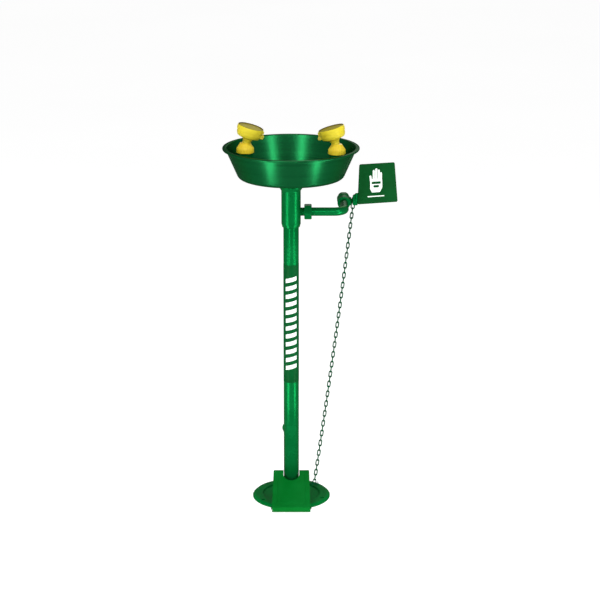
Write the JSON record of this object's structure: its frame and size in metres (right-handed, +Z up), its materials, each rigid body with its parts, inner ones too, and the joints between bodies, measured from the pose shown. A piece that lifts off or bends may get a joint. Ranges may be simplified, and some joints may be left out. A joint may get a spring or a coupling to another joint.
{
  "type": "eyewash station",
  "caption": "Pedestal eyewash: drained bowl with twin capped spray heads on a pole, worked by a hand push plate or a foot treadle linked by a chain to a ball valve.",
  "frame": {"origin": "on the pole's axis at the floor, at the centre of the flange's bolt circle", "axes": "+Z up along the pole, +X to the valve side, +Y to the back, the user stands at -Y"},
  "size_m": [0.4553, 0.35, 1.0101],
  "materials": {
    "green_coat": "gloss",
    "dark_coat": "satin",
    "treadle_coat": "satin",
    "chain_coat": "satin",
    "label_film": "satin",
    "white_film": "satin",
    "yellow_plastic": "gloss",
    "steel": "brushed",
    "brass": "satin",
    "rubber": "matt",
    "seat_plastic": "matt",
    "foam": "matt"
  },
  "bodies": {
    "stand": {"floor_flange": "green_coat", "pedestal_pipe": "green_coat", "waste_spigot": "green_coat", "label_band": "label_film", "upper_body": "green_coat", "pole_seal": "rubber", "pole_set_screws": "steel", "riser_elbow": "brass", "riser_pipe": "green_coat", "yoke_tee": "green_coat", "bowl": "green_coat", "bowl_gasket": "rubber", "drain_fitting": "steel", "strainer_plate": "steel", "side_nipple": "green_coat", "union_gasket": "rubber", "union_nut": "green_coat", "side_arm_pipe": "green_coat", "valve_body": "green_coat", "valve_end_cap": "green_coat", "valve_seats": "seat_plastic", "stem_packing": "seat_plastic", "bonnet_nut": "green_coat", "treadle_bracket": "green_coat", "bracket_screws": "steel", "treadle_hinge_pin": "steel", "hinge_clips": "steel", "treadle_stops": "rubber", "left_yoke_pipe": "green_coat", "left_head_nut": "green_coat", "left_spray_head": "yellow_plastic", "left_filter_foam": "foam", "left_spray_plate": "yellow_plastic", "left_cap_hinge_pin": "steel", "right_yoke_pipe": "green_coat", "right_head_nut": "green_coat", "right_spray_head": "yellow_plastic", "right_filter_foam": "foam", "right_spray_plate": "yellow_plastic", "right_cap_hinge_pin": "steel"},
    "lever": {"valve_ball": "steel", "valve_stem": "steel", "lever_arm": "green_coat", "lever_washer": "steel", "lever_nut": "steel", "push_plate": "dark_coat", "plate_nuts": "steel", "hand_sign": "white_film", "sign_strip": "white_film"},
    "chain": {"chain_hook": "chain_coat", "chain_links": "chain_coat", "chain_shackle": "chain_coat"},
    "treadle": {"treadle_plate": "treadle_coat", "chain_pin": "steel", "chain_pin_ring": "steel"},
    "left_cap": {"left_dust_cap": "yellow_plastic"},
    "right_cap": {"right_dust_cap": "yellow_plastic"}
  },
  "joints": [
    {"name": "lever_turn", "type": "hinge", "parent": "stand", "child": "lever", "pos_m": [0.1675, 0.117, 0.781], "axis": [-1, 0, 0], "range_deg": [0, 90]},
    {"name": "chain_swing", "type": "hinge", "parent": "lever", "child": "chain", "pos_m": [0.1655, 0.12987, 0.78927], "axis": [-1, 0, 0], "range_deg": [-91, 0]},
    {"name": "treadle_press", "type": "hinge", "parent": "stand", "child": "treadle", "pos_m": [0, -0.1175, 0.0115], "axis": [-1, 0, 0], "range_deg": [0, 14.75]},
    {"name": "left_cap_open", "type": "hinge", "parent": "stand", "child": "left_cap", "pos_m": [-0.07247, 0.0057, 0.97334], "axis": [0.0785, 0.9969, 0], "range_deg": [0, 110]},
    {"name": "right_cap_open", "type": "hinge", "parent": "stand", "child": "right_cap", "pos_m": [0.07247, -0.0057, 0.97334], "axis": [-0.0785, -0.9969, 0], "range_deg": [0, 110]}
  ],
  "couplings": [
    {"joint": "chain_swing", "follows": "lever_turn", "ratio": -1.0064},
    {"joint": "treadle_press", "follows": "lever_turn", "ratio": 0.16333}
  ]
}
